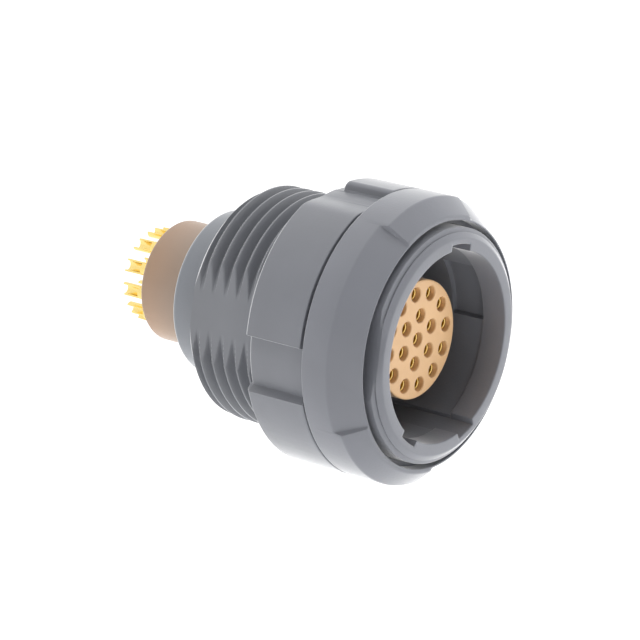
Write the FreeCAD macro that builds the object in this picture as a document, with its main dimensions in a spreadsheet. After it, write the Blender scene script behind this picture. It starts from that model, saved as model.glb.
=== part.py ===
"""Circular push-pull panel receptacle with nineteen solder contacts, in millimetres.

The connector axis is Y and the mating face looks towards -Y.
The origin is on the axis, in the plane of the hub's rear shoulder, which seats on the panel.
Angles round the axis are counted from the top (+Z), counter-clockwise as seen from the mating side.
"""
import FreeCAD, Part
import math
import os
import re
import Sketcher
from FreeCAD import Placement, Rotation, Vector

DOCUMENT_NAME = "receptacle"
OUTPUT_FOLDER = "parts"

# Driving dimensions, in millimetres and degrees.
SIZES = {
    # Moulded shell: rear panel thread, M16 x 1, with a flat along each mould parting line.
    "thread_wall": 2.0,
    "thread_length": 6.2,
    "thread_chamfer": 0.6,
    "thread_flat_depth": 0.58,
    # Moulded shell: hub, with a raised land round most of it and a lower raised pad in the gap.
    # The top of the land stops short of the shoulder.
    "hub_length": 4.71,
    "hub_drop": 0.65,
    "pad_drop": 0.15,
    "pad_start": 30.5,
    "pad_sweep": 62.0,
    "land_start": 114.5,
    "land_sweep": 215.5,
    "land_bevel": 0.3,
    "top_land_sweep": 41.0,
    "top_land_setback": 0.9,
    # Moulded shell: front barrel. Its bore is close round the plug at the lip and relieved behind it.
    "bore_diameter": 12.8,
    "bore_lip_length": 1.8,
    "bore_relief": 0.2,
    "bore_depth": 7.6,
    "web_thickness": 1.5,
    "barrel_wall": 1.45,
    "barrel_length": 4.7,
    "rim_inset": 0.65,
    "rim_taper": 0.45,
    # Keyways and latch pockets in the front bore.
    "keyway_depth": 0.42,
    "main_keyway_sweep": 18.0,
    "side_keyway_sweep": 15.0,
    "side_keyway_angle": 151.0,
    "pocket_length": 2.6,
    "pocket_depth": 0.6,
    "pocket_sweep": 36.0,
    "pocket_angle": 117.0,
    # Front ring nut on the barrel.
    "ring_wall": 1.8,
    "ring_setback": 0.74,
    "ring_low_lip": 0.5,
    "ring_high_lip": 0.7,
    "ring_low_cone": 1.87,
    "ring_high_cone": 1.27,
    "ring_recess_gap": 0.4,
    "ring_recess_depth": 0.9,
    "ring_near_low_start": 35.3,
    "ring_near_low_sweep": 89.5,
    "ring_far_low_start": 186.3,
    "ring_far_low_sweep": 161.7,
    # Rear clamping collar.
    "collar_reach": 3.0,
    "collar_drop": 0.26,
    "collar_step_length": 0.8,
    # Insulator: socket nose, clamped flange with its key, and rear stem.
    "nose_wall": 0.86,
    "nose_setback": 2.47,
    "flange_step": 1.77,
    "flange_thickness": 4.1,
    "stem_wall": 1.03,
    "stem_length": 4.0,
    "insulator_key_sweep": 14.0,
    "insulator_key_height": 0.15,
    "insulator_key_play": 0.5,
    # Contacts: one in the middle, the others in two circles.
    "inner_circle_radius": 1.61,
    "outer_circle_radius": 3.15,
    "outer_circle_turn": 15.0,
    "contact_diameter": 0.9,
    "contact_wall": 0.14,
    "contact_recess": 0.35,
    "cup_reach": 2.3,
    "cup_window_height": 0.12,
    "cup_window_length": 1.5,
    # Clearance between pieces that slide together.
    "slip_clearance": 0.05,
}

INNER_CONTACTS = 6
OUTER_CONTACTS = 12

# Planes across the connector axis that several pieces share, as formulas on the sizes.
HUB_FRONT = "0 - hub_length"
RIM_FACE = f"{HUB_FRONT} - barrel_length"
RING_FACE = f"{RIM_FACE} + ring_setback"
LIP_REAR = f"{RIM_FACE} + bore_lip_length"
BORE_FLOOR = f"{RIM_FACE} + bore_depth"
WEB_REAR = f"{BORE_FLOOR} + web_thickness"
NOSE_FACE = f"{RIM_FACE} + nose_setback"
FLANGE_REAR = f"{WEB_REAR} + flange_thickness"
COLLAR_REAR = "thread_length + collar_reach"
STEM_REAR = f"{COLLAR_REAR} + stem_length"
CONTACT_FACE = f"{NOSE_FACE} + contact_recess"
CUP_END = f"{STEM_REAR} + cup_reach"

# Radii from the contacts outwards, through the insulator, to the thread round it.
CONTACT_RADIUS = "contact_diameter / 2"
CONTACT_BORE_RADIUS = f"{CONTACT_RADIUS} - contact_wall"
CONTACT_HOLE_DIAMETER = "contact_diameter + 2 * slip_clearance"
NOSE_RADIUS = "outer_circle_radius + nose_wall"
STEM_RADIUS = "outer_circle_radius + stem_wall"
FLANGE_RADIUS = f"{STEM_RADIUS} + flange_step"
WEB_BORE_RADIUS = f"{NOSE_RADIUS} + slip_clearance"
COLLAR_BORE_RADIUS = f"{STEM_RADIUS} + slip_clearance"
CHAMBER_RADIUS = f"{FLANGE_RADIUS} + slip_clearance"
KEY_RADIUS = f"{CHAMBER_RADIUS} + insulator_key_height"
THREAD_RADIUS = f"{CHAMBER_RADIUS} + thread_wall"

# Radii from the front bore outwards, through the barrel, to the ring nut and the hub behind it.
BORE_RADIUS = "bore_diameter / 2"
RELIEF_RADIUS = f"{BORE_RADIUS} + bore_relief"
BARREL_RADIUS = f"{BORE_RADIUS} + barrel_wall"
RING_BORE_RADIUS = f"{BARREL_RADIUS} + slip_clearance"
RING_RECESS_RADIUS = f"{BARREL_RADIUS} + ring_recess_gap"
RING_LOW_LIP_RADIUS = f"{BARREL_RADIUS} + ring_low_lip"
RING_HIGH_LIP_RADIUS = f"{BARREL_RADIUS} + ring_high_lip"
RING_RADIUS = f"{BARREL_RADIUS} + ring_wall"
PAD_RADIUS = f"{RING_RADIUS} - pad_drop"
HUB_RADIUS = f"{RING_RADIUS} - hub_drop"

# How far a shape reaches past the surface that it cuts or joins.
MARGIN = "1"

# Where a sketch's corners start, before its dimensions pull them into place.
DRAFT_CENTRE = 20
DRAFT_RADIUS = 9

AXIS = Vector(0, -1, 0)

doc = FreeCAD.newDocument(DOCUMENT_NAME)
sheet = doc.addObject("Spreadsheet::Sheet", "sizes")


def fill_sheet():
    """Write each driving dimension into the sheet under its own alias."""
    for row, (name, size) in enumerate(SIZES.items(), start=1):
        sheet.set(f"A{row}", name)
        sheet.set(f"B{row}", str(size))
        sheet.setAlias(f"B{row}", name)
    doc.recompute()


def cell(formula):
    """Return a formula in which each size name is read from the sheet."""
    return re.sub(r"[a-z_]+", lambda word: f"sizes.{word[0]}" if word[0] in SIZES else word[0], formula)


def bind(item, properties):
    """Tie each named property of an object to a formula on the sheet."""
    for name, formula in properties.items():
        item.setExpression(name, cell(formula))


def draw_outline(sketch, corners):
    """Draw a closed outline of radius (X) against axis (Y), with each corner tied to the sheet."""
    count = len(corners)
    turns = [2 * math.pi * index / count for index in range(count)]
    circle = [Vector(DRAFT_CENTRE + DRAFT_RADIUS * math.cos(turn), DRAFT_RADIUS * math.sin(turn), 0)
              for turn in turns]
    for index in range(count):
        sketch.addGeometry(Part.LineSegment(circle[index], circle[(index + 1) % count]))
    for index in range(count):
        sketch.addConstraint(Sketcher.Constraint("Coincident", index, 2, (index + 1) % count, 1))
    for index, (radius, along) in enumerate(corners):
        for kind, formula in (("DistanceX", radius), ("DistanceY", along)):
            row = sketch.addConstraint(Sketcher.Constraint(kind, -1, 1, index, 1, 10.0))
            label = f"{kind[-1].lower()}_{index + 1}"
            sketch.renameConstraint(row, label)
            sketch.setExpression(f"Constraints.{label}", cell(formula))


def turned(name, corners, start="0", sweep="360"):
    """Turn an outline about the connector axis, from a start angle through a sweep."""
    profile = doc.addObject("Sketcher::SketchObject", f"{name}_outline")
    draw_outline(profile, corners)
    solid = doc.addObject("Part::Revolution", name)
    solid.Source = profile
    solid.Axis = AXIS
    solid.Solid = True
    solid.Placement = Placement(Vector(), Rotation(AXIS, 1))
    bind(solid, {"Angle": sweep, "Placement.Rotation.Angle": f"{start} + 90"})
    return solid


def band(name, inner, outer, front, rear, start, sweep):
    """Turn a rectangle into part of a tube wall, between two radii and two planes."""
    return turned(name, [(inner, front), (outer, front), (outer, rear), (inner, rear)], start, sweep)


def fused(name, pieces):
    """Join several solids of one moulding."""
    joined = doc.addObject("Part::MultiFuse", name)
    joined.Shapes = pieces
    return joined


def cut(name, base, cutters):
    """Cut several shapes out of a solid."""
    tool = fused(f"{name}_cutters", cutters) if len(cutters) > 1 else cutters[0]
    result = doc.addObject("Part::Cut", name)
    result.Base = base
    result.Tool = tool
    return result


def turned_body(name, corners):
    """Make a design body from an outline that is turned right round the connector axis."""
    body = doc.addObject("PartDesign::Body", name)
    sketch = body.newObject("Sketcher::SketchObject", f"{name}_outline")
    sketch.AttachmentSupport = (origin_plane(body, "XY_Plane"), [""])
    sketch.MapMode = "FlatFace"
    draw_outline(sketch, corners)
    revolution = body.newObject("PartDesign::Revolution", f"{name}_turned")
    revolution.Profile = sketch
    revolution.ReferenceAxis = (sketch, ["V_Axis"])
    revolution.Angle = 360
    doc.recompute()
    return body


def origin_plane(body, role):
    """Find one of a body's own origin planes or axes by its role."""
    return next(item for item in body.Origin.OriginFeatures if item.Role == role)


def drill_through(body, name, radius, turn, copies=1):
    """Drill contact holes right through a body along the connector axis, evenly round a circle."""
    sketch = body.newObject("Sketcher::SketchObject", f"{name}_circle")
    sketch.AttachmentSupport = (origin_plane(body, "XZ_Plane"), [""])
    sketch.MapMode = "FlatFace"
    sketch.addGeometry(Part.Circle(Vector(1, 1, 0), Vector(0, 0, 1), 0.4))
    places = (
        ("DistanceX", "across", f"0 - {radius} * sin({turn} * 1deg)"),
        ("DistanceY", "up", f"{radius} * cos({turn} * 1deg)"),
    )
    for kind, label, formula in places:
        row = sketch.addConstraint(Sketcher.Constraint(kind, -1, 1, 0, 3, 1.0))
        sketch.renameConstraint(row, label)
        sketch.setExpression(f"Constraints.{label}", cell(formula))
    row = sketch.addConstraint(Sketcher.Constraint("Diameter", 0, 0.8))
    sketch.renameConstraint(row, "bore")
    sketch.setExpression("Constraints.bore", cell(CONTACT_HOLE_DIAMETER))
    pocket = body.newObject("PartDesign::Pocket", name)
    pocket.Profile = sketch
    pocket.Type = "ThroughAll"
    pocket.Midplane = True
    doc.recompute()
    if copies > 1:
        pattern = body.newObject("PartDesign::PolarPattern", f"{name}_pattern")
        pattern.Originals = [pocket]
        pattern.Axis = (origin_plane(body, "Y_Axis"), [""])
        pattern.Angle = 360
        pattern.Occurrences = copies
        body.Tip = pattern
        doc.recompute()


def make_shell_body():
    """Mould the shell: front barrel, hub with its lands, and the rear thread at its crest size."""
    turned_shell = turned("shell_turned", [
        (BORE_RADIUS, RIM_FACE),
        (f"{BARREL_RADIUS} - rim_inset", RIM_FACE),
        (BARREL_RADIUS, f"{RIM_FACE} + rim_taper"),
        (BARREL_RADIUS, HUB_FRONT),
        (HUB_RADIUS, HUB_FRONT),
        (HUB_RADIUS, "0"),
        (THREAD_RADIUS, "0"),
        (THREAD_RADIUS, "thread_length - thread_chamfer"),
        (f"{THREAD_RADIUS} - thread_chamfer", "thread_length"),
        (CHAMBER_RADIUS, "thread_length"),
        (CHAMBER_RADIUS, WEB_REAR),
        (WEB_BORE_RADIUS, WEB_REAR),
        (WEB_BORE_RADIUS, BORE_FLOOR),
        (RELIEF_RADIUS, BORE_FLOOR),
        (RELIEF_RADIUS, LIP_REAR),
        (BORE_RADIUS, LIP_REAR),
    ])
    under_hub = f"{HUB_RADIUS} - {MARGIN}"
    pad = band("hub_pad", under_hub, PAD_RADIUS, HUB_FRONT, "0", "pad_start", "pad_sweep")
    land = turned("hub_land", [
        (under_hub, HUB_FRONT),
        (RING_RADIUS, HUB_FRONT),
        (RING_RADIUS, "0 - land_bevel"),
        (f"{RING_RADIUS} - land_bevel", "0"),
        (under_hub, "0"),
    ], "land_start", "land_sweep")
    top_land = band("hub_top_land", under_hub, RING_RADIUS, HUB_FRONT, "0 - top_land_setback",
                    "land_start + land_sweep", "top_land_sweep")
    blank = fused("shell_blank", [turned_shell, pad, land, top_land])
    cutters = keyway_cutters() + pocket_cutters() + thread_flat_cutters()
    cutters.append(band("insulator_key_slot", f"{CHAMBER_RADIUS} - {MARGIN}",
                        f"{KEY_RADIUS} + slip_clearance", WEB_REAR, f"thread_length + {MARGIN}",
                        "180 - insulator_key_sweep / 2 - insulator_key_play",
                        "insulator_key_sweep + 2 * insulator_key_play"))
    return cut("shell_body", blank, cutters)


def keyway_cutters():
    """Return the three keyways that run along the front bore."""
    outer = f"{BORE_RADIUS} + keyway_depth"
    inner = f"{BORE_RADIUS} - {MARGIN}"
    keyways = (
        ("main_keyway", "0", "main_keyway_sweep"),
        ("left_keyway", "side_keyway_angle", "side_keyway_sweep"),
        ("right_keyway", "0 - side_keyway_angle", "side_keyway_sweep"),
    )
    return [band(name, inner, outer, f"{RIM_FACE} - {MARGIN}", BORE_FLOOR,
                 f"{middle} - {sweep} / 2", sweep) for name, middle, sweep in keyways]


def pocket_cutters():
    """Return the two facing pockets, behind the lip, that the plug's latches spring into."""
    return [band(f"latch_pocket_{index + 1}", f"{BORE_RADIUS} - {MARGIN}", f"{BORE_RADIUS} + pocket_depth",
                 LIP_REAR, f"{LIP_REAR} + pocket_length",
                 f"pocket_angle - pocket_sweep / 2 + {180 * index}", "pocket_sweep")
            for index in range(2)]


def thread_flat_cutters():
    """Return the two blocks that flatten the thread along the mould's parting lines."""
    flat_height = f"{THREAD_RADIUS} - thread_flat_depth"
    blocks = []
    for name, corner in (("left_flat", f"0 - ({flat_height}) - {MARGIN}"), ("right_flat", flat_height)):
        block = doc.addObject("Part::Box", name)
        bind(block, {
            "Length": MARGIN,
            "Width": f"thread_length + {MARGIN}",
            "Height": f"2 * ({THREAD_RADIUS})",
            "Placement.Base.x": corner,
            "Placement.Base.z": f"0 - ({THREAD_RADIUS})",
        })
        blocks.append(block)
    return blocks


def make_front_ring():
    """Turn the ring nut, then cut its cone back in the low sectors that a key engages."""
    ring = turned("ring_turned", [
        (RING_BORE_RADIUS, HUB_FRONT),
        (RING_RADIUS, HUB_FRONT),
        (RING_RADIUS, f"{RING_FACE} + ring_high_cone"),
        (RING_HIGH_LIP_RADIUS, RING_FACE),
        (RING_RECESS_RADIUS, RING_FACE),
        (RING_RECESS_RADIUS, f"{RING_FACE} + ring_recess_depth"),
        (RING_BORE_RADIUS, f"{RING_FACE} + ring_recess_depth"),
    ])
    sectors = (
        ("near_low_sector", "ring_near_low_start", "ring_near_low_sweep"),
        ("far_low_sector", "ring_far_low_start", "ring_far_low_sweep"),
    )
    past_ring = f"{RING_RADIUS} + {MARGIN}"
    cutters = [turned(name, [
        (RING_RADIUS, f"{RING_FACE} + ring_low_cone"),
        (past_ring, f"{RING_FACE} + ring_low_cone"),
        (past_ring, f"{RING_FACE} - {MARGIN}"),
        (RING_LOW_LIP_RADIUS, f"{RING_FACE} - {MARGIN}"),
        (RING_LOW_LIP_RADIUS, RING_FACE),
    ], start, sweep) for name, start, sweep in sectors]
    return cut("front_ring", ring, cutters)


def make_rear_collar():
    """Turn the collar that clamps the insulator in the shell from behind."""
    return turned("rear_collar", [
        (COLLAR_BORE_RADIUS, FLANGE_REAR),
        (FLANGE_RADIUS, FLANGE_REAR),
        (FLANGE_RADIUS, "thread_length + collar_step_length"),
        (f"{FLANGE_RADIUS} - collar_drop", "thread_length + collar_step_length"),
        (f"{FLANGE_RADIUS} - collar_drop", COLLAR_REAR),
        (COLLAR_BORE_RADIUS, COLLAR_REAR),
    ])


def make_insulator():
    """Make the insulator: socket nose, flange, the key that stops it turning, and rear stem."""
    body = turned_body("insulator_turned", [
        ("0", NOSE_FACE),
        (NOSE_RADIUS, NOSE_FACE),
        (NOSE_RADIUS, WEB_REAR),
        (FLANGE_RADIUS, WEB_REAR),
        (FLANGE_RADIUS, FLANGE_REAR),
        (STEM_RADIUS, FLANGE_REAR),
        (STEM_RADIUS, STEM_REAR),
        ("0", STEM_REAR),
    ])
    drill_through(body, "middle_hole", "0", "0")
    drill_through(body, "inner_hole", "inner_circle_radius", "0", INNER_CONTACTS)
    drill_through(body, "outer_hole", "outer_circle_radius", "outer_circle_turn", OUTER_CONTACTS)
    key = band("insulator_key", f"{FLANGE_RADIUS} - {MARGIN}", KEY_RADIUS, WEB_REAR, FLANGE_REAR,
               "180 - insulator_key_sweep / 2", "insulator_key_sweep")
    return fused("insulator", [body, key])


def draw_contact_outline():
    """Draw the outline that all contacts share: a barrel that is bored as a socket and a solder cup."""
    profile = doc.addObject("Sketcher::SketchObject", "contact_outline")
    draw_outline(profile, [
        (CONTACT_BORE_RADIUS, CONTACT_FACE),
        (CONTACT_RADIUS, CONTACT_FACE),
        (CONTACT_RADIUS, CUP_END),
        (CONTACT_BORE_RADIUS, CUP_END),
    ])
    return profile


def make_contact(name, profile, radius, turn):
    """Make one contact at its place, with its solder cup open on the side away from the axis."""
    barrel = doc.addObject("Part::Revolution", f"{name}_turned")
    barrel.Source = profile
    barrel.Axis = AXIS
    barrel.Angle = 360
    barrel.Solid = True
    window = doc.addObject("Part::Box", f"{name}_window")
    bind(window, {
        "Length": "2 * contact_diameter",
        "Width": f"cup_window_length + {MARGIN}",
        "Height": "contact_diameter",
        "Placement.Base.x": "0 - contact_diameter",
        "Placement.Base.y": f"{CUP_END} - cup_window_length",
        "Placement.Base.z": "cup_window_height",
    })
    contact = cut(name, barrel, [window])
    contact.Placement = Placement(Vector(), Rotation(AXIS, 1))
    bind(contact, {
        "Placement.Base.x": f"0 - {radius} * sin(({turn}) * 1deg)",
        "Placement.Base.z": f"{radius} * cos(({turn}) * 1deg)",
        "Placement.Rotation.Angle": turn,
    })
    return contact


def make_contacts():
    """Make the nineteen contacts, numbered outwards from the middle."""
    places = [("0", "0")]
    places += [("inner_circle_radius", f"{index * 360 // INNER_CONTACTS}")
               for index in range(INNER_CONTACTS)]
    places += [("outer_circle_radius", f"outer_circle_turn + {index * 360 // OUTER_CONTACTS}")
               for index in range(OUTER_CONTACTS)]
    profile = draw_contact_outline()
    return [make_contact(f"contact_{number:02d}", profile, radius, turn)
            for number, (radius, turn) in enumerate(places, start=1)]


def check_model(pieces):
    """Stop if any object failed to build, or if a piece has no sound shape."""
    for item in doc.Objects:
        if "Invalid" in item.State or "Error" in item.State:
            raise RuntimeError(f"{item.Name} did not build: {item.State}")
    for piece in pieces:
        if piece.Shape.isNull() or not piece.Shape.isValid() or len(piece.Shape.Solids) != 1:
            raise RuntimeError(f"{piece.Label} is not one sound solid")


def export(pieces):
    """Write each piece to its own STEP file."""
    os.makedirs(OUTPUT_FOLDER, exist_ok=True)
    for piece in pieces:
        piece.Shape.exportStep(os.path.join(OUTPUT_FOLDER, f"{piece.Label}.step"))
        print(f"{piece.Label}: {piece.Shape.Volume:.3f} mm3")


def main():
    """Build every piece, check the document and write the parts."""
    fill_sheet()
    pieces = [make_shell_body(), make_front_ring(), make_rear_collar(), make_insulator()]
    pieces += make_contacts()
    doc.recompute()
    check_model(pieces)
    export(pieces)


main()
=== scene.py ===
"""Visual model of a circular push-pull panel receptacle with nineteen gold contacts.

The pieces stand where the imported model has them: the connector axis is Y, the mating face looks
towards -Y and the top is +Z. Sizes are in millimetres and angles in degrees until a mesh is
written. An angle round the axis is counted from the top, counter-clockwise as seen from the
mating side.
"""
from __future__ import annotations

import logging
import math
from dataclasses import dataclass, field
from enum import Enum
from typing import Callable, Sequence

import bmesh
import bpy
from mathutils import Matrix, Vector

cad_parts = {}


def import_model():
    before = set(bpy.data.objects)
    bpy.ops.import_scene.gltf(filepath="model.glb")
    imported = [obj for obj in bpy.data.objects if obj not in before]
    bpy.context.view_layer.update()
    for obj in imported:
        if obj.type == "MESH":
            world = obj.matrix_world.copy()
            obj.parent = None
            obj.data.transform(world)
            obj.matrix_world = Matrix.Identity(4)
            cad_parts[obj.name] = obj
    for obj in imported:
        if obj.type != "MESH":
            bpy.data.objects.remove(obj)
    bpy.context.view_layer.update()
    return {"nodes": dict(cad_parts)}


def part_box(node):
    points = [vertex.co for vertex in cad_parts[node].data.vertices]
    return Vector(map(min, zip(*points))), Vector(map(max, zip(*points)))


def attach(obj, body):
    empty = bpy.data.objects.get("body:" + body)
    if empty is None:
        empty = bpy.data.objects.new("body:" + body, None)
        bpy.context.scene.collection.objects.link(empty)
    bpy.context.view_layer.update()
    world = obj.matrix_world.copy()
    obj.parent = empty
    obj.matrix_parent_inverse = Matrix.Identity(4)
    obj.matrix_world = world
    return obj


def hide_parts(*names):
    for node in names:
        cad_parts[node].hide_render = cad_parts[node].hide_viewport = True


MM = 0.001
FULL_TURN = 360.0
WHITE = (1.0, 1.0, 1.0, 1.0)

# Mesh limits: lengths in millimetres, and the angle in degrees from which an edge stays sharp.
WELD_DISTANCE = 2e-4
SLIVER_LENGTH = 1e-4
SHORTEST_EDGE = 1e-6
SHARP_ANGLE = 38.0

# The most of an edge that the rounding at one of its ends may take.
ROUNDING_REACH = 0.45

# Where a mesh has stations across a riser, as shares of its width from the middle.
RISER_STATIONS = (-0.5, -0.25, 0.0, 0.25, 0.5)

# A Mix node's sockets in its colour mode.
MIX_SHARE, MIX_FIRST, MIX_SECOND, MIX_RESULT = 0, 6, 7, 2

log = logging.getLogger("receptacle")

Point = tuple[float, float]
Point3 = tuple[float, float, float]
Outline = Callable[[float], list[Point]]


def smooth_step(share: float) -> float:
    """Ease a share from 0 to 1 with level ends."""
    held = min(max(share, 0.0), 1.0)
    return held * held * (3.0 - 2.0 * held)


def mix(low: float, high: float, share: float) -> float:
    """Return the value that lies a share of the way from low to high."""
    return low + (high - low) * share


def held_to_flats(radius: float, flat_height: float, angle: float) -> float:
    """Hold a radius to two flats, one on each side of the connector axis.

    Args:
        radius: The radius of the round part.
        flat_height: How far each flat lies from the axis.
        angle: The angle round the axis.

    Returns:
        The radius, cut back where the angle crosses a flat.
    """
    sideways = abs(math.sin(math.radians(angle)))
    return radius if radius * sideways <= flat_height else flat_height / sideways


@dataclass(frozen=True)
class Sector:
    """A stretch of angles round the axis, with soft ends a moulded riser wide."""

    start: float
    sweep: float
    riser: float = 1.0

    def share(self, angle: float) -> float:
        """Return 1 inside the sector, 0 outside it and a smooth share across its risers.

        Args:
            angle: The angle round the axis.

        Returns:
            The share, from 0 to 1.
        """
        middle = self.start + self.sweep / 2
        away = abs((angle - middle + FULL_TURN / 2) % FULL_TURN - FULL_TURN / 2)
        return smooth_step((self.sweep / 2 - away) / self.riser + 0.5)

    def stations(self) -> list[float]:
        """Return the angles that a mesh needs to show both risers."""
        ends = (self.start, self.start + self.sweep)
        return [end + share * self.riser for end in ends for share in RISER_STATIONS]


@dataclass(frozen=True)
class Corner:
    """A corner of a turned outline: distance from the axis, place along it and edge rounding."""

    radius: float
    along: float
    rounding: float = 0.0


class Closing(Enum):
    """How the two ends of a turned outline close."""

    LOOP = "loop"
    AXIS = "axis"


def rounded_outline(corners: Sequence[Corner], closing: Closing, steps: int = 4) -> list[Point]:
    """Round the corners of an outline with small arcs.

    Args:
        corners: The corners in order.
        closing: Whether the outline is a loop or runs from axis to axis.
        steps: How many pieces each rounding has.

    Returns:
        The points of the rounded outline, always as many for the same list of roundings.
    """
    points: list[Point] = []
    count = len(corners)
    for index, corner in enumerate(corners):
        here = Vector((corner.radius, corner.along))
        is_end = closing is Closing.AXIS and index in (0, count - 1)
        if corner.rounding == 0.0 or is_end:
            points.append((here.x, here.y))
            continue
        previous, following = corners[index - 1], corners[(index + 1) % count]
        before = Vector((previous.radius, previous.along)) - here
        after = Vector((following.radius, following.along)) - here
        if min(before.length, after.length) < SHORTEST_EDGE:
            points.extend([(here.x, here.y)] * (steps + 1))
            continue
        reach = min(corner.rounding, ROUNDING_REACH * before.length, ROUNDING_REACH * after.length)
        first, last = here + before.normalized() * reach, here + after.normalized() * reach
        for step in range(steps + 1):
            share = step / steps
            near = first.lerp(here, share).lerp(here.lerp(last, share), share)
            points.append((near.x, near.y))
    return points


def turning_stations(step: float, features: Sequence[float]) -> list[float]:
    """Spread angles round a full turn, with those of the features among them.

    Args:
        step: The even spacing away from features.
        features: Angles that must be stations.

    Returns:
        Sorted angles from 0 to 360, both included.
    """
    exact = sorted({round(angle % FULL_TURN, 4) for angle in features} | {0.0, FULL_TURN})
    stations = [exact[0]]
    for angle in exact[1:]:
        gap = angle - stations[-1]
        pieces = max(1, math.ceil(gap / step))
        start = stations[-1]
        stations.extend(start + gap * piece / pieces for piece in range(1, pieces + 1))
    return stations


def turned_mesh(name: str, stations: Sequence[float], outline: Outline,
                closing: Closing) -> bpy.types.Mesh:
    """Sweep an outline that may change with the angle once round the connector axis.

    Args:
        name: The mesh's name.
        stations: The angles from 0 to 360, both included.
        outline: Gives the outline's points at an angle, always as many.
        closing: How the outline's ends close.

    Returns:
        A watertight mesh in metres.
    """
    mould = bmesh.new()
    columns = []
    for angle in stations:
        across, up = -math.sin(math.radians(angle)), math.cos(math.radians(angle))
        columns.append([mould.verts.new((radius * across * MM, along * MM, radius * up * MM))
                        for radius, along in outline(angle)])
    rows = len(columns[0])
    last_row = rows if closing is Closing.LOOP else rows - 1
    for left, right in zip(columns, columns[1:]):
        for row in range(last_row):
            after = (row + 1) % rows
            mould.faces.new((left[row], left[after], right[after], right[row]))
    bmesh.ops.remove_doubles(mould, verts=mould.verts, dist=WELD_DISTANCE * MM)
    bmesh.ops.dissolve_degenerate(mould, edges=mould.edges, dist=SLIVER_LENGTH * MM)
    bmesh.ops.recalc_face_normals(mould, faces=mould.faces)
    mesh = bpy.data.meshes.new(name)
    mould.to_mesh(mesh)
    mould.free()
    return mesh


def linear_channel(value: float) -> float:
    """Turn one sRGB channel from 0 to 1 into its linear value, by the standard's own curve."""
    return value / 12.92 if value <= 0.04045 else ((value + 0.055) / 1.055) ** 2.4


def linear_colour(hex_code: str) -> tuple[float, float, float, float]:
    """Turn an sRGB hex colour such as '7C7D85' into a linear colour with full alpha."""
    channels = [int(hex_code[place:place + 2], 16) / 255 for place in (0, 2, 4)]
    return (*(linear_channel(channel) for channel in channels), 1.0)


def add_node(tree: bpy.types.NodeTree, kind: str, settings: dict | None = None,
             links: dict | None = None) -> bpy.types.Node:
    """Add one shader node with its settings and incoming links.

    Args:
        tree: The material's node tree.
        kind: The node's type name.
        settings: Socket defaults by name or number, and properties by name with a leading dot.
        links: Output sockets by the name or number of the input they feed.

    Returns:
        The new node.
    """
    node = tree.nodes.new(kind)
    for name, value in (settings or {}).items():
        if isinstance(name, str) and name.startswith("."):
            setattr(node, name[1:], value)
        else:
            node.inputs[name].default_value = value
    for name, socket in (links or {}).items():
        tree.links.new(socket, node.inputs[name])
    return node


def new_material(name: str) -> tuple[bpy.types.Material, bpy.types.NodeTree]:
    """Make an empty node material.

    Args:
        name: The material's name.

    Returns:
        The material and its node tree.
    """
    material = bpy.data.materials.new(name)
    material.use_nodes = True
    material.node_tree.nodes.clear()
    return material, material.node_tree


@dataclass(frozen=True)
class ToneStop:
    """The colour that a moulding has at one place along the connector axis."""

    along: float
    colour: str


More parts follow.
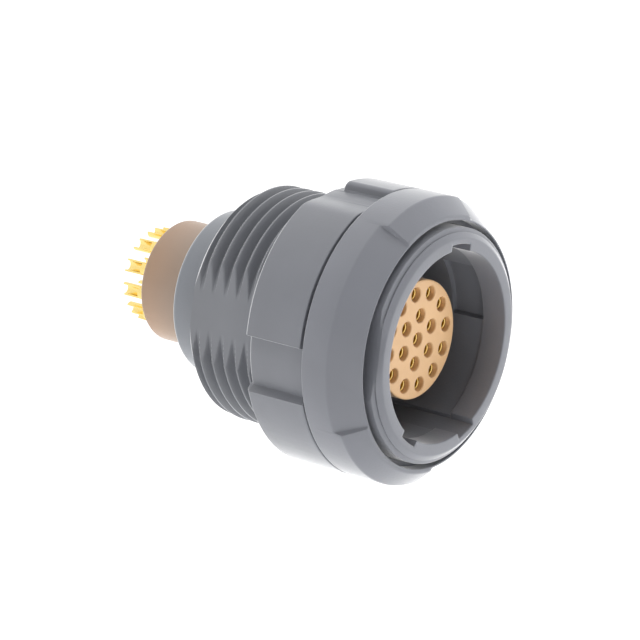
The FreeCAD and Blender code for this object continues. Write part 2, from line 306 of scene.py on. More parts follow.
@dataclass(frozen=True)
class MouldedPolymer:
    """An injection-moulded engineering polymer with a satin mould texture.

    The mould's fine spark-eroded texture scatters the gloss, and its sheen pales the surfaces that
    turn away from the eye. The melt leaves faint clouds of tone and a slow ripple. The real grain
    is too fine to show at this size, so it is drawn as coarse as it needs.
    """

    name: str
    tones: tuple[ToneStop, ...]
    cloud_shade: str = "F7F7F7"
    roughness: float = 0.36
    roughness_spread: float = 0.05
    ior: float = 1.5
    sheen: float = 1.0
    sheen_roughness: float = 0.3
    cloud_mm: float = 5.0
    cloud_detail: float = 3.0
    cloud_start: float = 0.35
    cloud_end: float = 0.65
    grain_mm: float = 0.16
    grain_detail: float = 2.0
    grain_depth_mm: float = 0.006
    ripple_mm: float = 1.6
    ripple_detail: float = 1.0
    ripple_depth_mm: float = 0.01

    def tone(self, tree: bpy.types.NodeTree, place: bpy.types.Node) -> bpy.types.NodeSocket:
        """Return the moulding's colour, which drifts along the connector axis and has faint clouds.

        Args:
            tree: The material's node tree.
            place: Its texture coordinate node.

        Returns:
            The colour's socket.
        """
        first, last = self.tones[0].along, self.tones[-1].along
        parts = add_node(tree, "ShaderNodeSeparateXYZ", links={0: place.outputs["Object"]})
        along = add_node(tree, "ShaderNodeMapRange",
                         {"From Min": first * MM, "From Max": last * MM},
                         {"Value": parts.outputs["Y"]})
        drift = add_node(tree, "ShaderNodeValToRGB", links={"Fac": along.outputs["Result"]})
        stops = drift.color_ramp.elements
        for tone in self.tones[1:-1]:
            stops.new((tone.along - first) / (last - first))
        for stop, tone in zip(stops, self.tones):
            stop.color = linear_colour(tone.colour)
        clouds = add_node(tree, "ShaderNodeTexNoise",
                          {"Scale": 1 / (self.cloud_mm * MM), "Detail": self.cloud_detail},
                          {"Vector": place.outputs["Object"]})
        shade = add_node(tree, "ShaderNodeValToRGB", links={"Fac": clouds.outputs["Fac"]})
        dark, light = shade.color_ramp.elements
        dark.position, light.position = self.cloud_start, self.cloud_end
        dark.color = linear_colour(self.cloud_shade)
        shaded = add_node(tree, "ShaderNodeMix",
                          {".data_type": "RGBA", ".blend_type": "MULTIPLY", MIX_SHARE: 1.0},
                          {MIX_FIRST: drift.outputs["Color"], MIX_SECOND: shade.outputs["Color"]})
        return shaded.outputs[MIX_RESULT]

    def material(self) -> bpy.types.Material:
        """Build the node material.

        Returns:
            The material, with its grain and ripple in metres of the part.
        """
        material, tree = new_material(self.name)
        place = add_node(tree, "ShaderNodeTexCoord")
        grain = add_node(tree, "ShaderNodeTexNoise",
                         {"Scale": 1 / (self.grain_mm * MM), "Detail": self.grain_detail},
                         {"Vector": place.outputs["Object"]})
        ripple = add_node(tree, "ShaderNodeTexNoise",
                          {"Scale": 1 / (self.ripple_mm * MM), "Detail": self.ripple_detail},
                          {"Vector": place.outputs["Object"]})
        gloss = add_node(tree, "ShaderNodeMapRange",
                         {"To Min": self.roughness - self.roughness_spread,
                          "To Max": self.roughness + self.roughness_spread},
                         {"Value": grain.outputs["Fac"]})
        swell = add_node(tree, "ShaderNodeBump",
                         {"Strength": 1.0, "Distance": self.ripple_depth_mm * MM},
                         {"Height": ripple.outputs["Fac"]})
        texture = add_node(tree, "ShaderNodeBump",
                           {"Strength": 1.0, "Distance": self.grain_depth_mm * MM},
                           {"Height": grain.outputs["Fac"], "Normal": swell.outputs["Normal"]})
        surface = add_node(tree, "ShaderNodeBsdfPrincipled",
                           {"IOR": self.ior, "Sheen Weight": self.sheen,
                            "Sheen Roughness": self.sheen_roughness},
                           {"Base Color": self.tone(tree, place),
                            "Roughness": gloss.outputs["Result"],
                            "Normal": texture.outputs["Normal"]})
        add_node(tree, "ShaderNodeOutputMaterial", links={"Surface": surface.outputs["BSDF"]})
        return material


@dataclass(frozen=True)
class GoldPlate:
    """Hard gold plating on a turned brass contact.

    The turning marks run round the contact and stretch its highlights along the axis.
    """

    name: str
    colour: str
    roughness: float = 0.24
    roughness_spread: float = 0.08
    turning_mm: float = 0.09
    turning_detail: float = 2.0
    turning_depth_mm: float = 0.002
    turning_stretch: Point3 = (0.08, 1.0, 0.08)

    def material(self) -> bpy.types.Material:
        """Build the node material.

        Returns:
            The material, with its turning marks in metres of the part.
        """
        material, tree = new_material(self.name)
        place = add_node(tree, "ShaderNodeTexCoord")
        stretch = add_node(tree, "ShaderNodeMapping", {"Scale": self.turning_stretch},
                           {"Vector": place.outputs["Object"]})
        marks = add_node(tree, "ShaderNodeTexNoise",
                         {"Scale": 1 / (self.turning_mm * MM), "Detail": self.turning_detail},
                         {"Vector": stretch.outputs["Vector"]})
        gloss = add_node(tree, "ShaderNodeMapRange",
                         {"To Min": self.roughness - self.roughness_spread,
                          "To Max": self.roughness + self.roughness_spread},
                         {"Value": marks.outputs["Fac"]})
        bump = add_node(tree, "ShaderNodeBump",
                        {"Strength": 1.0, "Distance": self.turning_depth_mm * MM},
                        {"Height": marks.outputs["Fac"]})
        surface = add_node(tree, "ShaderNodeBsdfPrincipled",
                           {"Base Color": linear_colour(self.colour), "Metallic": 1.0},
                           {"Roughness": gloss.outputs["Result"], "Normal": bump.outputs["Normal"]})
        add_node(tree, "ShaderNodeOutputMaterial", links={"Surface": surface.outputs["BSDF"]})
        return material


# Grey polysulfone: an even cool grey, satin from the mould.
SHELL_FINISH = MouldedPolymer("grey_moulded_polysulfone",
                              (ToneStop(-9.4, "76787F"), ToneStop(6.2, "727479")))
RING_FINISH = MouldedPolymer("grey_moulded_ring_polysulfone",
                             (ToneStop(-8.8, "76787F"), ToneStop(-4.7, "76787F")))
COLLAR_FINISH = MouldedPolymer("grey_moulded_collar_polysulfone",
                               (ToneStop(6.2, "717379"), ToneStop(9.2, "767A80")))

# Tan polyether ether ketone: pale and warm at the socket face, browner on the stem.
INSULATOR_FINISH = MouldedPolymer("tan_moulded_peek",
                                  (ToneStop(4.0, "DCB282"), ToneStop(9.4, "928275"),
                                   ToneStop(12.6, "9C8069")),
                                  roughness=0.42, sheen=0.3, grain_mm=0.12)

# Gold over turned brass: a pale, soft metal gloss.
CONTACT_FINISH = GoldPlate("gold_plated_brass", "FBE08F")


def place_piece(mesh: bpy.types.Mesh, material: bpy.types.Material, node: str) -> bpy.types.Object:
    """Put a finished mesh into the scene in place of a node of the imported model.

    Args:
        mesh: The mesh, in metres and in place.
        material: Its finish.
        node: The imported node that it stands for.

    Returns:
        The new object.
    """
    piece = bpy.data.objects.new(mesh.name, mesh)
    bpy.context.scene.collection.objects.link(piece)
    mesh.materials.append(material)
    mesh.shade_smooth()
    mesh.set_sharp_from_angle(angle=math.radians(SHARP_ANGLE))
    weighting = piece.modifiers.new("face_weighted_normals", "WEIGHTED_NORMAL")
    weighting.keep_sharp = True
    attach(piece, "root")
    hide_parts(node)
    log.info("%s: %d faces", piece.name, len(mesh.polygons))
    return piece


def node_span(node: str) -> tuple[Vector, Vector]:
    """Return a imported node's lowest and highest corners in millimetres."""
    low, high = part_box(node)
    return low / MM, high / MM


@dataclass
class PanelThread:
    """The right-handed M16 x 1 thread behind the hub, flattened along the mould's parting lines."""

    length: float
    crest_radius: float = 8.0
    root_radius: float = 7.4
    pitch: float = 1.0
    crest_share: float = 0.13
    root_share: float = 0.2
    flank_ease: float = 0.35
    rows_per_turn: int = 20
    spare_turns: int = 2
    crest_place: float = 5.08
    crest_angle: float = 77.5
    flat_height: float = 7.28
    chamfer: float = 0.6

    def crest(self, angle: float) -> float:
        """Return where the crest of one turn lies along the axis at an angle."""
        return self.crest_place - (angle - self.crest_angle) / FULL_TURN * self.pitch

    def wave(self, along: float, angle: float) -> float:
        """Work out how far the thread stands up at a place.

        Args:
            along: The place along the axis.
            angle: The angle round the axis.

        Returns:
            The share, from 0 in the root to 1 on the crest, with softly eased flanks.
        """
        away = abs(((along - self.crest(angle)) / self.pitch + 0.5) % 1.0 - 0.5)
        flank = 0.5 - (self.crest_share + self.root_share) / 2
        share = min(max((0.5 - self.root_share / 2 - away) / flank, 0.0), 1.0)
        return mix(share, smooth_step(share), self.flank_ease)

    def radius(self, along: float, angle: float) -> float:
        """Work out the thread's radius at a place, within its end chamfer and its two flats.

        Args:
            along: The place along the axis.
            angle: The angle round the axis.

        Returns:
            The radius.
        """
        radius = mix(self.root_radius, self.crest_radius, self.wave(along, angle))
        radius = min(radius, self.crest_radius - max(0.0, along - (self.length - self.chamfer)))
        return held_to_flats(radius, self.flat_height, angle)

    def points(self, angle: float) -> list[Point]:
        """Draw the thread from the shoulder to its rear end, in rows that follow the helix.

        Args:
            angle: The angle round the axis.

        Returns:
            The outline's points. Rows past either end lie on that end.
        """
        first = -math.ceil(self.crest_place / self.pitch) - self.spare_turns
        turns = math.ceil(self.length / self.pitch) + 2 * self.spare_turns
        rows = []
        for row in range(turns * self.rows_per_turn + 1):
            along = self.crest(angle) + (first + row / self.rows_per_turn) * self.pitch
            held = min(max(along, 0.0), self.length)
            rows.append((self.radius(held, angle), held))
        return rows


@dataclass
class ShellBody:
    """The moulded shell: keyed front bore, flat-sided barrel, hub with pad and land, rear thread.

    The rim's cone ends in a fine line where it meets the barrel. The pad fades into the hub towards
    the top, and the land's top end is rounded off there. Behind that end the top land stops short
    of the shoulder.
    """

    finish: MouldedPolymer
    bore_radius: float = 6.4
    relief_radius: float = 6.6
    lip_length: float = 1.8
    bore_depth: float = 7.6
    web_thickness: float = 1.5
    web_bore_radius: float = 4.06
    chamber_radius: float = 6.0
    rim_radius: float = 7.2
    rim_taper: float = 0.3
    taper_radius: float = 7.58
    run_out_radius: float = 7.48
    run_out_start: float = 0.35
    run_out_end: float = 0.5
    barrel_radius: float = 7.85
    barrel_flat_height: float = 7.3
    hub_length: float = 4.71
    recess_radius: float = 9.0
    pad_radius: float = 9.5
    land_radius: float = 9.65
    hub_bevel: float = 0.2
    land_bevel: float = 0.3
    pad: Sector = Sector(20.0, 72.5)
    pad_lead: Sector = Sector(26.5, 100.0, 15.0)
    pad_gap: float = 0.22
    land: Sector = Sector(114.5, 256.5)
    crown_height: float = 0.42
    crown_sweep: float = 2.6
    crown_steps: int = 6
    top_land: Sector = Sector(330.0, 46.0)
    top_land_setback: float = 0.9
    keyway_radius: float = 6.82
    keyways: tuple[Sector, ...] = (Sector(-9.0, 18.0), Sector(143.5, 15.0), Sector(201.5, 15.0))
    pocket_radius: float = 7.0
    pocket_length: float = 2.6
    pockets: tuple[Sector, ...] = (Sector(99.0, 36.0), Sector(279.0, 36.0))
    rim_rounding: float = 0.1
    fine_rounding: float = 0.04
    foot_rounding: float = 0.18
    pad_rounding: float = 0.08
    top_land_rounding: float = 0.25
    top_land_fillet: float = 0.05
    edge_rounding: float = 0.06
    inner_rounding: float = 0.1
    floor_fillet: float = 0.15
    station_step: float = 1.5
    thread: PanelThread = field(init=False)
    rim_face: float = field(init=False)

    def __post_init__(self) -> None:
        """Take the shell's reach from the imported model."""
        low, high = node_span("shell_body")
        self.rim_face = low.y
        self.thread = PanelThread(length=high.y)

    def pad_share(self, angle: float) -> float:
        """Return how far the pad stands up at an angle. It fades out towards the top."""
        return min(self.pad.share(angle), self.pad_lead.share(angle))

    def hub_radius(self, angle: float) -> float:
        """Return the hub's radius at an angle."""
        radius = mix(self.recess_radius, self.pad_radius, self.pad_share(angle))
        return mix(radius, self.land_radius - self.crown_drop(angle), self.land.share(angle))

    def crown_drop(self, angle: float) -> float:
        """Work out how far the land's top end is rounded off.

        Args:
            angle: The angle round the axis.

        Returns:
            The drop from the land's radius, on a quarter of an ellipse.
        """
        short_of_end = (self.land.start + self.land.sweep - angle) % FULL_TURN
        reach = 1.0 - min(short_of_end / self.crown_sweep, 1.0)
        return self.crown_height * (1.0 - math.sqrt(1.0 - reach * reach))

    def rim_and_barrel(self, lip: float, angle: float) -> list[Corner]:
        """Draw the rim's face and cone, and the barrel with its flats along the parting lines.

        Args:
            lip: The bore's radius at the face.
            angle: The angle round the axis.

        Returns:
            The corners from the bore's mouth to the hub's front face.
        """
        taper = held_to_flats(self.taper_radius, self.barrel_flat_height, angle)
        run_out = held_to_flats(self.run_out_radius, self.barrel_flat_height, angle)
        barrel = held_to_flats(self.barrel_radius, self.barrel_flat_height, angle)
        return [
            Corner(lip, self.rim_face, self.rim_rounding),
            Corner(self.rim_radius, self.rim_face, self.rim_rounding),
            Corner(taper, self.rim_face + self.rim_taper, self.fine_rounding),
            Corner(run_out, self.rim_face + self.run_out_start),
            Corner(barrel, self.rim_face + self.run_out_end, self.fine_rounding),
            Corner(barrel, -self.hub_length),
        ]

    def hub_corners(self, angle: float) -> list[Corner]:
        """Draw the hub, with its pad, its land and the gap behind the ring nut.

        Args:
            angle: The angle round the axis.

        Returns:
            The corners from the hub's front face to its rear shoulder.
        """
        hub = self.hub_radius(angle)
        front = mix(hub, self.recess_radius, self.pad_share(angle))
        shoulder = mix(hub, self.recess_radius, self.top_land.share(angle))
        bevel = mix(self.hub_bevel, self.land_bevel, self.land.share(angle))
        return [
            Corner(front, -self.hub_length, self.foot_rounding),
            Corner(front, self.pad_gap - self.hub_length),
            Corner(hub, self.pad_gap - self.hub_length, self.pad_rounding),
            Corner(hub, -self.top_land_setback, self.top_land_rounding),
            Corner(shoulder, -self.top_land_setback, self.top_land_fillet),
            Corner(shoulder, -bevel, self.edge_rounding),
            Corner(shoulder - bevel, 0.0, self.edge_rounding),
        ]

    def outline(self, angle: float) -> list[Point]:
        """Draw the shell's outline.

        Args:
            angle: The angle round the axis.

        Returns:
            The points of a closed loop.
        """
        key = max(keyway.share(angle) for keyway in self.keyways)
        pocket = max(pocket.share(angle) for pocket in self.pockets)
        lip = mix(self.bore_radius, self.keyway_radius, key)
        relief = mix(self.relief_radius, self.keyway_radius, key)
        deep = mix(relief, self.pocket_radius, pocket)
        lip_rear = self.rim_face + self.lip_length
        floor = self.rim_face + self.bore_depth
        web_rear = floor + self.web_thickness
        outside = self.rim_and_barrel(lip, angle) + self.hub_corners(angle)
        thread = [Corner(radius, along) for radius, along in self.thread.points(angle)]
        inside = [
            Corner(self.chamber_radius, self.thread.length, self.inner_rounding),
            Corner(self.chamber_radius, web_rear),
            Corner(self.web_bore_radius, web_rear),
            Corner(self.web_bore_radius, floor, self.inner_rounding),
            Corner(relief, floor, self.floor_fillet),
            Corner(relief, lip_rear + self.pocket_length),
            Corner(deep, lip_rear + self.pocket_length, self.inner_rounding),
            Corner(deep, lip_rear, self.edge_rounding),
            Corner(lip, lip_rear, self.edge_rounding),
        ]
        return rounded_outline(outside + thread + inside, Closing.LOOP)

    def features(self) -> list[float]:
        """List the angles that the shell's mesh needs.

        Returns:
            The risers of every sector, the edges of the barrel's flats and the steps of the crown.
        """
        sectors = (self.pad, self.pad_lead, self.land, self.top_land, *self.keyways, *self.pockets)
        risers = [angle for sector in sectors for angle in sector.stations()]
        edge = math.degrees(math.asin(self.barrel_flat_height / self.barrel_radius))
        half_turn = FULL_TURN / 2
        flats = [edge, half_turn - edge, half_turn + edge, FULL_TURN - edge]
        land_end = self.land.start + self.land.sweep
        crown = [land_end - self.crown_sweep * step / self.crown_steps
                 for step in range(1, self.crown_steps + 1)]
        return risers + flats + crown

    def build(self) -> bpy.types.Object:
        """Build the shell.

        Returns:
            The new object.
        """
        stations = turning_stations(self.station_step, self.features())
        mesh = turned_mesh("moulded_shell", stations, self.outline, Closing.LOOP)
        return place_piece(mesh, self.finish.material(), "shell_body")


@dataclass
class RingNut:
    """The ring nut on the barrel. Its front cone is cut back in low sectors that a key engages."""

    finish: MouldedPolymer
    bore_radius: float = 7.9
    recess_radius: float = 8.25
    recess_depth: float = 0.9
    low_lip_radius: float = 8.35
    high_lip_radius: float = 8.55
    low_cone: float = 1.87
    high_cone: float = 1.27
    rear_gap: float = 0.07
    edge_rounding: float = 0.12
    recess_rounding: float = 0.06
    bore_rounding: float = 0.05
    high_sectors: tuple[Sector, ...] = (Sector(-12.0, 47.3, 0.8), Sector(124.8, 61.5, 0.8))
    station_step: float = 1.5
    face: float = field(init=False)
    rear: float = field(init=False)
    radius: float = field(init=False)

    def __post_init__(self) -> None:
        """Take the ring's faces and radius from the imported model."""
        low, high = node_span("front_ring")
        self.face, self.rear, self.radius = low.y, high.y, high.x

    def outline(self, angle: float) -> list[Point]:
        """Draw the ring's outline.

        Args:
            angle: The angle round the axis.

        Returns:
            The points of a closed loop.
        """
        high = max(sector.share(angle) for sector in self.high_sectors)
        lip = mix(self.low_lip_radius, self.high_lip_radius, high)
        cone = mix(self.low_cone, self.high_cone, high)
        recess_floor = self.face + self.recess_depth
        rear = self.rear - self.rear_gap
        return rounded_outline([
            Corner(self.bore_radius, rear, self.bore_rounding),
            Corner(self.radius, rear, self.edge_rounding),
            Corner(self.radius, self.face + cone, self.edge_rounding),
            Corner(lip, self.face, self.edge_rounding),
            Corner(self.recess_radius, self.face, self.recess_rounding),
            Corner(self.recess_radius, recess_floor),
            Corner(self.bore_radius, recess_floor),
        ], Closing.LOOP)

    def build(self) -> bpy.types.Object:
        """Build the ring nut.

        Returns:
            The new object.
        """
        features = [angle for sector in self.high_sectors for angle in sector.stations()]
        stations = turning_stations(self.station_step, features)
        mesh = turned_mesh("ring_nut", stations, self.outline, Closing.LOOP)
        return place_piece(mesh, self.finish.material(), "front_ring")


@dataclass
class ClampCollar:
    """The stepped collar that clamps the insulator in the shell from behind."""

    finish: MouldedPolymer
    bore_radius: float = 4.23
    step_radius: float = 5.95
    rear_radius: float = 5.69
    step_length: float = 0.8
    step_rounding: float = 0.08
    step_fillet: float = 0.05
    rear_rounding: float = 0.35
    bore_rounding: float = 0.08
    station_step: float = 2.0
    front: float = field(init=False)
    rear: float = field(init=False)
    step: float = field(init=False)

    def __post_init__(self) -> None:
        """Take the collar's faces and the shell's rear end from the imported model."""
        low, high = node_span("rear_collar")
        self.front, self.rear = low.y, high.y
        self.step = node_span("shell_body")[1].y + self.step_length

    def outline(self, angle: float) -> list[Point]:
        """Draw the collar's outline.

        Args:
            angle: The angle round the axis. The collar is the same at each.

        Returns:
            The points of a closed loop.
        """
        return rounded_outline([
            Corner(self.bore_radius, self.front),
            Corner(self.step_radius, self.front),
            Corner(self.step_radius, self.step, self.step_rounding),
            Corner(self.rear_radius, self.step, self.step_fillet),
            Corner(self.rear_radius, self.rear, self.rear_rounding),
            Corner(self.bore_radius, self.rear, self.bore_rounding),
        ], Closing.LOOP)

    def build(self) -> bpy.types.Object:
        """Build the collar.

        Returns:
            The new object.
        """
        stations = turning_stations(self.station_step, [])
        mesh = turned_mesh("clamp_collar", stations, self.outline, Closing.LOOP)
        return place_piece(mesh, self.finish.material(), "rear_collar")


@dataclass
class Insulator:
    """The tan insulator: socket nose, clamped flange and rear stem, with nineteen through holes."""

    finish: MouldedPolymer
    contact_nodes: Sequence[str]
    nose_radius: float = 4.01
    flange_radius: float = 5.95
    stem_radius: float = 4.18
    web_rear: float = -0.31
    flange_rear: float = 3.79
    nose_rounding: float = 0.12
    stem_rounding: float = 0.18
    hole_radius: float = 0.5
    hole_chamfer: float = 0.05
    drill_overrun: float = 0.5
    station_step: float = 3.0
    hole_step: float = 15.0
    face: float = field(init=False)
    rear: float = field(init=False)

    def __post_init__(self) -> None:
        """Take the insulator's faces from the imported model."""
        low, high = node_span("insulator")
        self.face, self.rear = low.y, high.y

    def outline(self, angle: float) -> list[Point]:
        """Draw the insulator's outline.

        Args:
            angle: The angle round the axis. The insulator is the same at each.

        Returns:
            The points from axis to axis.
        """
        return rounded_outline([
            Corner(0.0, self.face),
            Corner(self.nose_radius, self.face, self.nose_rounding),
            Corner(self.nose_radius, self.web_rear),
            Corner(self.flange_radius, self.web_rear),
            Corner(self.flange_radius, self.flange_rear),
            Corner(self.stem_radius, self.flange_rear),
            Corner(self.stem_radius, self.rear, self.stem_rounding),
            Corner(0.0, self.rear),
        ], Closing.AXIS)

    def hole_outline(self, angle: float) -> list[Point]:
        """Draw the shape that cuts one contact hole, flared at both faces.

        Args:
            angle: The angle round the hole's axis. The shape is the same at each.

        Returns:
            The points from axis to axis.
        """
        flare = self.hole_radius + self.hole_chamfer
        return [
            (0.0, self.face - self.drill_overrun),
            (flare, self.face - self.drill_overrun),
            (flare, self.face),
            (self.hole_radius, self.face + self.hole_chamfer),
            (self.hole_radius, self.rear - self.hole_chamfer),
            (flare, self.rear),
            (flare, self.rear + self.drill_overrun),
            (0.0, self.rear + self.drill_overrun),
        ]

    def cutter(self) -> bpy.types.Object:
        """Build the cutting shapes of all the contact holes.

        Returns:
            One object that holds them all.
        """
        stations = turning_stations(self.hole_step, [])
        drill = turned_mesh("hole_cutter", stations, self.hole_outline, Closing.AXIS)
        joined = bmesh.new()
        for node in self.contact_nodes:
            low, high = node_span(node)
            middle = (low + high) / 2
            shifted = drill.copy()
            shifted.transform(Matrix.Translation((middle.x * MM, 0.0, middle.z * MM)))
            joined.from_mesh(shifted)
            bpy.data.meshes.remove(shifted)
        joined.to_mesh(drill)
        joined.free()
        cutter = bpy.data.objects.new("hole_cutter", drill)
        bpy.context.scene.collection.objects.link(cutter)
        return cutter

    def build(self) -> bpy.types.Object:
        """Build the insulator and cut its holes.

        Returns:
            The new object.
        """
        stations = turning_stations(self.station_step, [])
        mesh = turned_mesh("insulator_blank", stations, self.outline, Closing.AXIS)
        blank = bpy.data.objects.new("insulator_blank", mesh)
        bpy.context.scene.collection.objects.link(blank)
        cutter = self.cutter()
        drilling = blank.modifiers.new("contact_holes", "BOOLEAN")
        drilling.operation = "DIFFERENCE"
        drilling.solver = "EXACT"
        drilling.object = cutter
        depsgraph = bpy.context.evaluated_depsgraph_get()
        drilled = bpy.data.meshes.new_from_object(blank.evaluated_get(depsgraph))
        drilled.name = "contact_insulator"
        for spare in (blank, cutter):
            bpy.data.objects.remove(spare)
        return place_piece(drilled, self.finish.material(), "insulator")


@dataclass
class Contact:
    """A gold-plated contact: a blind socket in front and an open-sided solder cup behind."""

    node: str
    bore_radius: float = 0.31
    bore_depth: float = 3.2
    cup_radius: float = 0.33
    cup_depth: float = 1.9
    window_length: float = 1.5
    window: Sector = Sector(-75.0, 150.0, 6.0)
    mouth_rounding: float = 0.06
    front_rounding: float = 0.05
    cup_rounding: float = 0.03
    rounding_steps: int = 3
    station_step: float = 12.0
    across: float = field(init=False)
    up: float = field(init=False)
    front: float = field(init=False)
    rear: float = field(init=False)
    radius: float = field(init=False)

    def __post_init__(self) -> None:
        """Take the contact's place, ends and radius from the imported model."""
        low, high = node_span(self.node)
        middle = (low + high) / 2
        self.across, self.up = middle.x, middle.z
        self.front, self.rear = low.y, high.y
        self.radius = (high.x - low.x) / 2

    def outline(self, angle: float) -> list[Point]:
        """Draw the contact's outline.

        Args:
            angle: The angle round the contact's own axis.

        Returns:
            The points from axis to axis.
        """
        end = self.rear - self.window_length * self.window.share(angle)
        return rounded_outline([
            Corner(0.0, self.front + self.bore_depth),
            Corner(self.bore_radius, self.front + self.bore_depth),
            Corner(self.bore_radius, self.front, self.mouth_rounding),
            Corner(self.radius, self.front, self.front_rounding),
            Corner(self.radius, end, self.cup_rounding),
            Corner(self.cup_radius, end, self.cup_rounding),
            Corner(self.cup_radius, self.rear - self.cup_depth),
            Corner(0.0, self.rear - self.cup_depth),
        ], Closing.AXIS, steps=self.rounding_steps)

    def build(self, material: bpy.types.Material) -> bpy.types.Object:
        """Build the contact and turn its window away from the connector axis.

        Args:
            material: The finish that all contacts share.

        Returns:
            The new object.
        """
        stations = turning_stations(self.station_step, self.window.stations())
        mesh = turned_mesh(f"gold_{self.node}", stations, self.outline, Closing.AXIS)
        outward = math.atan2(-self.across, self.up)
        mesh.transform(Matrix.Rotation(-outward, 4, "Y"))
        mesh.transform(Matrix.Translation((self.across * MM, 0.0, self.up * MM)))
        return place_piece(mesh, material, self.node)


@dataclass(frozen=True)
class ProductCamera:
    """The camera, at the photograph's viewing angle."""

    target: Point3 = (-0.531, 0.676, -0.197)
    azimuth: float = -54.18
    elevation: float = 10.19
    roll: float = 6.87
    distance: float = 228.62
    lens: float = 194.0
    sensor: float = 36.0
    nearest: float = 10.0
    farthest: float = 20000.0

    def build(self) -> bpy.types.Object:
        """Build the camera and make it the scene's own.

        Returns:
            The camera.
        """
        turn, rise = math.radians(self.azimuth), math.radians(self.elevation)
        lean = math.radians(self.roll)
        back = Vector((math.sin(turn) * math.cos(rise), -math.cos(turn) * math.cos(rise),
                       math.sin(rise)))
        level_right = Vector((math.cos(turn), math.sin(turn), 0.0))
        level_up = back.cross(level_right)
        right = level_right * math.cos(lean) + level_up * math.sin(lean)
        up = back.cross(right)
        data = bpy.data.cameras.new("product_camera")
        data.lens = self.lens
        data.sensor_width = self.sensor
        data.sensor_fit = "HORIZONTAL"
        data.clip_start = self.nearest * MM
        data.clip_end = self.farthest * MM
        camera = bpy.data.objects.new("product_camera", data)
        bpy.context.scene.collection.objects.link(camera)
        place = (Vector(self.target) + back * self.distance) * MM
        axes = Matrix((right, up, back)).transposed().to_4x4()
        camera.matrix_world = Matrix.Translation(place) @ axes
        bpy.context.scene.camera = camera
        return camera


@dataclass(frozen=True)
class SkyGlow:
    """A soft patch of light in the surround, brightest where it is aimed."""

    aim: Point3
    focus: float
    strength: float


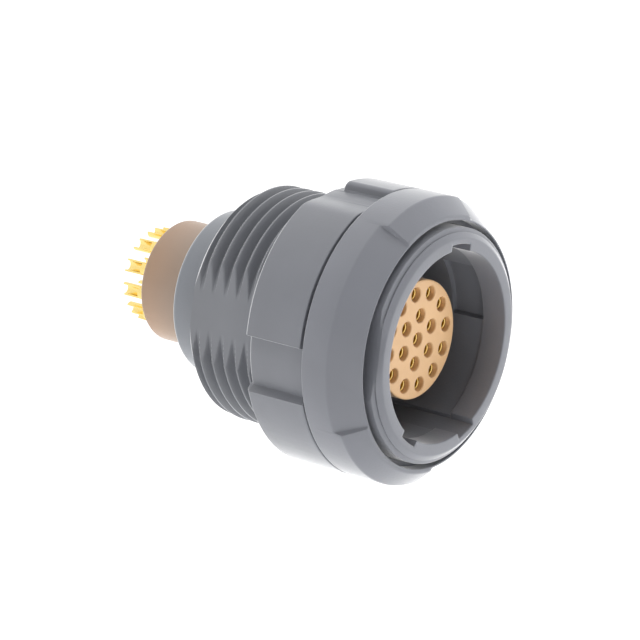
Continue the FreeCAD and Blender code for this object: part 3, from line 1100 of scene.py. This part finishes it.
@dataclass(frozen=True)
class Studio:
    """A white sweep round the part over a softly glowing white table.

    The table glows more strongly the farther it lies along far_way. The eye sees white for
    eye_share of it, and the rest keeps the part's soft shadow.
    """

    floor_height: float = -26.0
    floor_half_width: float = 3000.0
    floor_colour: str = "F4F4F4"
    table_glow: float = 0.22
    far_glow: float = 2.0
    far_way: Point3 = (0.81, 0.59, 0.0)
    far_start: float = -10.0
    far_end: float = 50.0
    eye_share: float = 0.9
    glows: tuple[SkyGlow, ...] = (
        SkyGlow((0.0, 0.0, 1.0), 5.0, 2.8),  # overhead
        SkyGlow((-0.5, 0.85, 0.1), 4.0, 0.7),  # low behind the solder cups, to the left
        SkyGlow((0.2, 0.75, 0.6), 5.0, 2.3),  # high behind the solder cups
        SkyGlow((0.8, 0.58, 0.1), 3.0, 1.3),  # low behind, to the right
        SkyGlow((1.0, 0.0, 0.15), 3.0, 1.0),  # right
        SkyGlow((0.7, -0.7, 0.2), 4.0, 1.9),  # right of the mating face
    )

    def white_to_the_eye(self, tree: bpy.types.NodeTree) -> bpy.types.NodeSocket:
        """Tell the rays that show the background from those that light the part.

        Args:
            tree: The node tree that needs it.

        Returns:
            A socket that is 1 for camera, glossy and transmission rays, and 0 for the rest.
        """
        path = add_node(tree, "ShaderNodeLightPath")
        seen = add_node(tree, "ShaderNodeMath", {".operation": "MAXIMUM"},
                        {0: path.outputs["Is Camera Ray"], 1: path.outputs["Is Glossy Ray"]})
        either = add_node(tree, "ShaderNodeMath", {".operation": "MAXIMUM"},
                          {0: seen.outputs[0], 1: path.outputs["Is Transmission Ray"]})
        return either.outputs[0]

    def glow_sum(self, tree: bpy.types.NodeTree) -> bpy.types.NodeSocket:
        """Add up the surround's glows.

        Args:
            tree: The surround's node tree.

        Returns:
            A socket with the light from each direction.
        """
        place = add_node(tree, "ShaderNodeTexCoord")
        total = add_node(tree, "ShaderNodeValue")
        total.outputs[0].default_value = 0.0
        for glow in self.glows:
            facing = add_node(tree, "ShaderNodeVectorMath",
                              {".operation": "DOT_PRODUCT", 1: Vector(glow.aim).normalized()},
                              {0: place.outputs["Generated"]})
            ahead = add_node(tree, "ShaderNodeMath", {".operation": "MAXIMUM", 1: 0.0},
                             {0: facing.outputs["Value"]})
            patch = add_node(tree, "ShaderNodeMath", {".operation": "POWER", 1: glow.focus},
                             {0: ahead.outputs[0]})
            total = add_node(tree, "ShaderNodeMath",
                             {".operation": "MULTIPLY_ADD", 1: glow.strength},
                             {0: patch.outputs[0], 2: total.outputs[0]})
        return total.outputs[0]

    def build_surround(self) -> None:
        """Light the part from all round, and show white to the camera."""
        world = bpy.data.worlds.new("white_surround")
        bpy.context.scene.world = world
        world.use_nodes = True
        tree = world.node_tree
        tree.nodes.clear()
        light = add_node(tree, "ShaderNodeBackground", {"Color": WHITE},
                         {"Strength": self.glow_sum(tree)})
        shown = add_node(tree, "ShaderNodeBackground", {"Color": WHITE, "Strength": 1.0})
        choice = add_node(tree, "ShaderNodeMixShader",
                          links={0: self.white_to_the_eye(tree), 1: light.outputs[0],
                                 2: shown.outputs[0]})
        add_node(tree, "ShaderNodeOutputWorld", links={"Surface": choice.outputs[0]})

    def floor_material(self) -> bpy.types.Material:
        """Build the floor's finish: a white light table.

        Returns:
            The material.
        """
        material, tree = new_material("white_light_table")
        board = add_node(tree, "ShaderNodeBsdfDiffuse", {"Color": linear_colour(self.floor_colour)})
        place = add_node(tree, "ShaderNodeTexCoord")
        way = add_node(tree, "ShaderNodeVectorMath",
                       {".operation": "DOT_PRODUCT", 1: Vector(self.far_way).normalized()},
                       {0: place.outputs["Object"]})
        rise = add_node(tree, "ShaderNodeMapRange",
                        {"From Min": self.far_start * MM, "From Max": self.far_end * MM,
                         "To Min": self.table_glow, "To Max": self.table_glow + self.far_glow},
                        {"Value": way.outputs["Value"]})
        lit = add_node(tree, "ShaderNodeEmission", {"Color": WHITE},
                       {"Strength": rise.outputs["Result"]})
        table = add_node(tree, "ShaderNodeAddShader",
                         links={0: board.outputs[0], 1: lit.outputs[0]})
        shown = add_node(tree, "ShaderNodeEmission", {"Color": WHITE, "Strength": 1.0})
        share = add_node(tree, "ShaderNodeMath", {".operation": "MULTIPLY", 1: self.eye_share},
                         {0: self.white_to_the_eye(tree)})
        choice = add_node(tree, "ShaderNodeMixShader",
                          links={0: share.outputs[0], 1: table.outputs[0], 2: shown.outputs[0]})
        add_node(tree, "ShaderNodeOutputMaterial", links={"Surface": choice.outputs[0]})
        return material

    def build_floor(self) -> None:
        """Build the floor under the part."""
        half, height = self.floor_half_width * MM, self.floor_height * MM
        mesh = bpy.data.meshes.new("white_floor")
        corners = [(across * half, along * half, height)
                   for across, along in ((-1, -1), (1, -1), (1, 1), (-1, 1))]
        mesh.from_pydata(corners, [], [tuple(range(len(corners)))])
        mesh.materials.append(self.floor_material())
        floor = bpy.data.objects.new("white_floor", mesh)
        bpy.context.scene.collection.objects.link(floor)

    def build(self) -> None:
        """Build the surround and the floor."""
        self.build_surround()
        self.build_floor()
        bpy.context.scene.view_settings.view_transform = "Standard"


def main() -> None:
    """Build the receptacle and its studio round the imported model."""
    logging.basicConfig(level=logging.INFO, format="%(name)s: %(message)s")
    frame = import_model()
    contact_nodes = sorted(name for name in frame["nodes"] if name.startswith("contact_"))
    ProductCamera().build()
    Studio().build()
    ShellBody(SHELL_FINISH).build()
    RingNut(RING_FINISH).build()
    ClampCollar(COLLAR_FINISH).build()
    Insulator(INSULATOR_FINISH, contact_nodes).build()
    gold = CONTACT_FINISH.material()
    for node in contact_nodes:
        Contact(node).build(gold)


if __name__ == "__main__":
    main()
